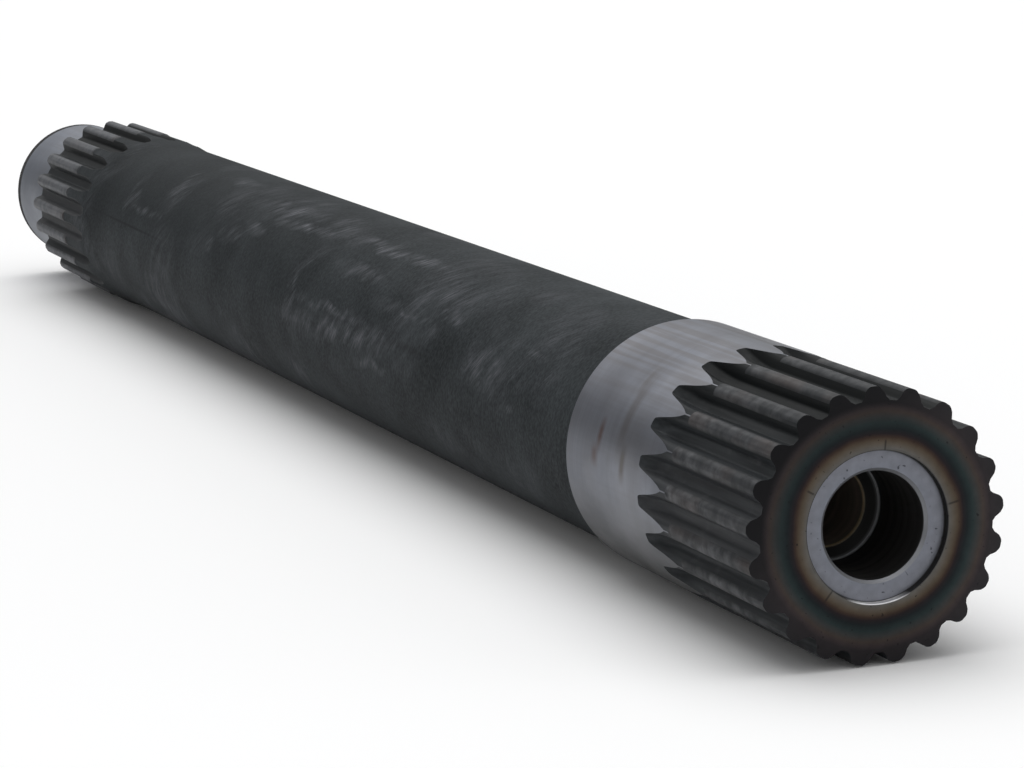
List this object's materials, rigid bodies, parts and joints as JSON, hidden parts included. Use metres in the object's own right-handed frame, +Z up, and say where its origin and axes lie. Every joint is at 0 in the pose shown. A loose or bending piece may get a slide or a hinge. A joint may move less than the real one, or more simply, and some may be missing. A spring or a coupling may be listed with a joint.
{
  "type": "power take-off shaft",
  "caption": "Hollow power take-off shaft: a black heat-treated bar with involute splines at both ends, a ground bearing journal by the open drive end and a ground pilot at the other.",
  "frame": {"origin": "on the shaft's axis, half way between its two end faces", "axes": "+X along the axis towards the drive end with the open socket, +Z up as the shaft lies"},
  "size_m": [0.4014, 0.035, 0.035],
  "materials": {
    "shaft_steel": "black heat-treated steel with ground journals and heat tint on the drive face"
  },
  "bodies": {
    "root": {"splined_shaft": "shaft_steel"}
  },
  "joints": []
}
